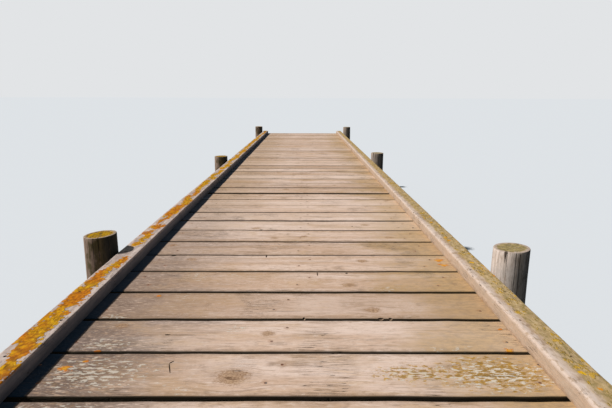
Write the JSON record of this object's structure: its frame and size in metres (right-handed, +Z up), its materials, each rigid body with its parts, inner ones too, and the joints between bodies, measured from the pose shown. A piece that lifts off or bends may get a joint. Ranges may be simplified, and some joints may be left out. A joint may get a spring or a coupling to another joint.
{
  "type": "wooden jetty",
  "caption": "Straight timber jetty: cross boards on lengthwise stringers, with low kerbs, carried by bearers between round piles whose heads stand above the deck.",
  "frame": {"origin": "middle of the jetty's length and width, at the level of the pile feet", "axes": "+X to the right and +Y along the walkway towards the open water, seen from the shore; +Z up"},
  "size_m": [1.8602, 12, 1.146],
  "materials": {
    "deck_timber": "bare, weathered, with open grain",
    "kerb_timber": "bare, weathered, with lichen",
    "pile_timber": "bare round timber, checked, with lichen on the heads",
    "frame_timber": "bare sawn timber, damp and dark"
  },
  "bodies": {
    "root": {"bearer_1": "frame_timber", "bearer_2": "frame_timber", "bearer_3": "frame_timber", "bearer_4": "frame_timber", "deck_boards_outer_1": "deck_timber", "deck_boards_outer_2": "deck_timber", "deck_boards_shore_1": "deck_timber", "deck_boards_shore_2": "deck_timber", "kerb_left_outer": "kerb_timber", "kerb_left_shore": "kerb_timber", "kerb_right_outer": "kerb_timber", "kerb_right_shore": "kerb_timber", "pile_left_1": "pile_timber", "pile_left_2": "pile_timber", "pile_left_3": "pile_timber", "pile_left_4": "pile_timber", "pile_right_1": "pile_timber", "pile_right_2": "pile_timber", "pile_right_3": "pile_timber", "pile_right_4": "pile_timber", "stringer_left_middle_bay": "frame_timber", "stringer_left_outer_bay": "frame_timber", "stringer_left_shore_bay": "frame_timber", "stringer_middle_middle_bay": "frame_timber", "stringer_middle_outer_bay": "frame_timber", "stringer_middle_shore_bay": "frame_timber", "stringer_right_middle_bay": "frame_timber", "stringer_right_outer_bay": "frame_timber", "stringer_right_shore_bay": "frame_timber"}
  },
  "joints": []
}
